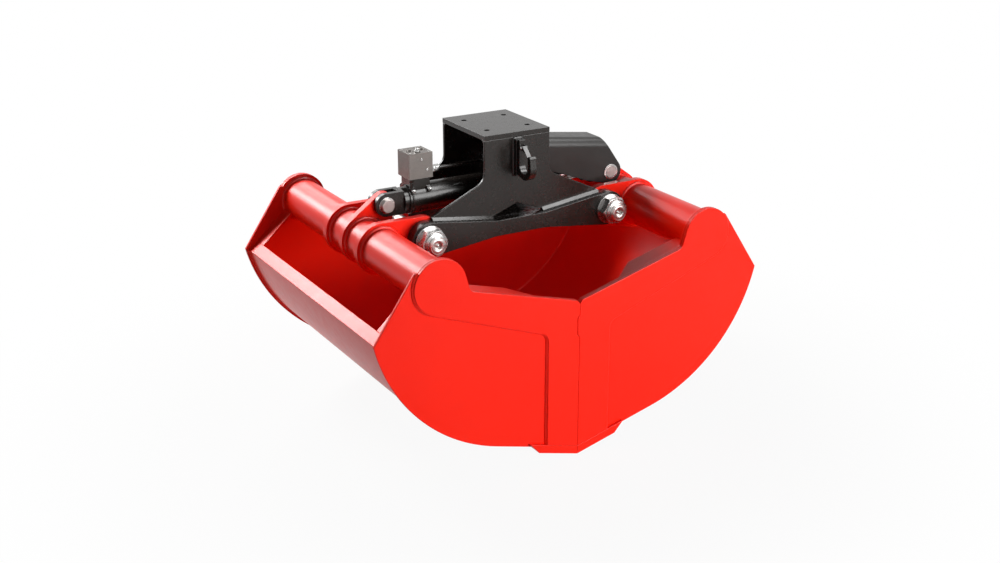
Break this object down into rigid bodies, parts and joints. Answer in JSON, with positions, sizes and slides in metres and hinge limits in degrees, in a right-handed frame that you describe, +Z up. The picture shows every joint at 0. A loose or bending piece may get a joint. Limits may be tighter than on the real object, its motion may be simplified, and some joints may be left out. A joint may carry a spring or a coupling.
{
  "type": "clamshell bucket",
  "caption": "Hydraulic clamshell bucket: welded jaws hinged on a frame and closed by one cylinder above the hinges",
  "frame": {"origin": "centre of the rotator mounting face on top of the frame", "axes": "+X across the mouth from the left jaw to the right jaw, +Y along the cutting edges from front to rear, +Z up"},
  "size_m": [1.343, 1, 0.937],
  "materials": {
    "red_paint": "gloss traffic-red enamel over welded steel",
    "black_paint": "satin black enamel",
    "pin_steel": "ground and hardened pin steel, lightly oiled",
    "zinc_plate": "bright zinc plate",
    "valve_steel": "zinc-nickel plated valve body, fine machined faces",
    "bronze": "plain bearing bronze",
    "chrome": "hard chrome, polished",
    "cast_iron": "machined",
    "seal_rubber": "nitrile, smooth",
    "spring_steel": "drawn wire"
  },
  "bodies": {
    "frame": {"frame_beam_front": "black_paint", "frame_beam_rear": "black_paint", "frame_cross_plate": "black_paint", "frame_side_front": "black_paint", "frame_side_rear": "black_paint", "frame_top_plate": "black_paint", "frame_welds": "black_paint", "grease_nipples": "zinc_plate", "hinge_nuts": "zinc_plate", "hinge_pin_left": "pin_steel", "hinge_pin_right": "pin_steel", "hinge_thrust_rings": "bronze", "hinge_washers": "zinc_plate", "hook_base_plate": "black_paint", "hook_body": "black_paint", "hook_latch_pin": "zinc_plate"},
    "jaw_left": {"jaw_left_arms": "red_paint", "jaw_left_bands": "red_paint", "jaw_left_bushes": "bronze", "jaw_left_cheek_front": "red_paint", "jaw_left_cheek_rear": "red_paint", "jaw_left_corner_strips": "red_paint", "jaw_left_lip": "red_paint", "jaw_left_lug": "red_paint", "jaw_left_shell": "red_paint", "jaw_left_tube": "red_paint", "jaw_left_tube_welds": "red_paint"},
    "jaw_right": {"jaw_right_arms": "red_paint", "jaw_right_bands": "red_paint", "jaw_right_bushes": "bronze", "jaw_right_cheek_front": "red_paint", "jaw_right_cheek_rear": "red_paint", "jaw_right_corner_strips": "red_paint", "jaw_right_lip": "red_paint", "jaw_right_lug": "red_paint", "jaw_right_shell": "red_paint", "jaw_right_tube": "red_paint", "jaw_right_tube_welds": "red_paint"},
    "barrel": {"cylinder_fork": "black_paint", "cylinder_barrel": "black_paint", "cylinder_gland": "black_paint", "cylinder_wiper": "seal_rubber", "lug_pin_left": "pin_steel", "lug_rings_left": "zinc_plate", "valve_block": "valve_steel", "valve_saddle": "black_paint", "valve_plugs": "zinc_plate", "valve_fitting": "zinc_plate", "barrel_port": "black_paint", "pressure_pipe": "black_paint"},
    "rod": {"cylinder_rod": "chrome", "cylinder_piston": "cast_iron", "piston_seal": "seal_rubber", "rod_fork": "black_paint", "rod_guard": "black_paint", "guard_spacers": "black_paint", "lug_pin_right": "pin_steel", "lug_rings_right": "zinc_plate"},
    "latch": {"hook_latch": "black_paint", "hook_latch_spring": "spring_steel"}
  },
  "joints": [
    {"name": "jaw_left_swing", "type": "hinge", "parent": "frame", "child": "jaw_left", "pos_m": [-0.326, 0, -0.288], "axis": [0, 1, 0], "range_deg": [0, 50]},
    {"name": "jaw_right_swing", "type": "hinge", "parent": "frame", "child": "jaw_right", "pos_m": [0.326, 0, -0.288], "axis": [0, -1, 0], "range_deg": [0, 50]},
    {"name": "barrel_pivot", "type": "hinge", "parent": "jaw_left", "child": "barrel", "pos_m": [-0.399, 0, -0.2016], "axis": [0, -1, 0], "range_deg": [0, 50]},
    {"name": "rod_pivot", "type": "hinge", "parent": "jaw_right", "child": "rod", "pos_m": [0.399, 0, -0.2016], "axis": [0, 1, 0], "range_deg": [0, 50]},
    {"name": "hook_latch_swing", "type": "hinge", "parent": "frame", "child": "latch", "pos_m": [0, -0.172, -0.042], "axis": [1, 0, 0], "range_deg": [0, 40], "stiffness_Nm_per_rad": 0.02, "springref_deg": -22.92}
  ],
  "couplings": [
    {"joint": "jaw_right_swing", "follows": "jaw_left_swing", "ratio": 1},
    {"joint": "barrel_pivot", "follows": "jaw_left_swing", "ratio": 1},
    {"joint": "rod_pivot", "follows": "jaw_left_swing", "ratio": 1}
  ]
}
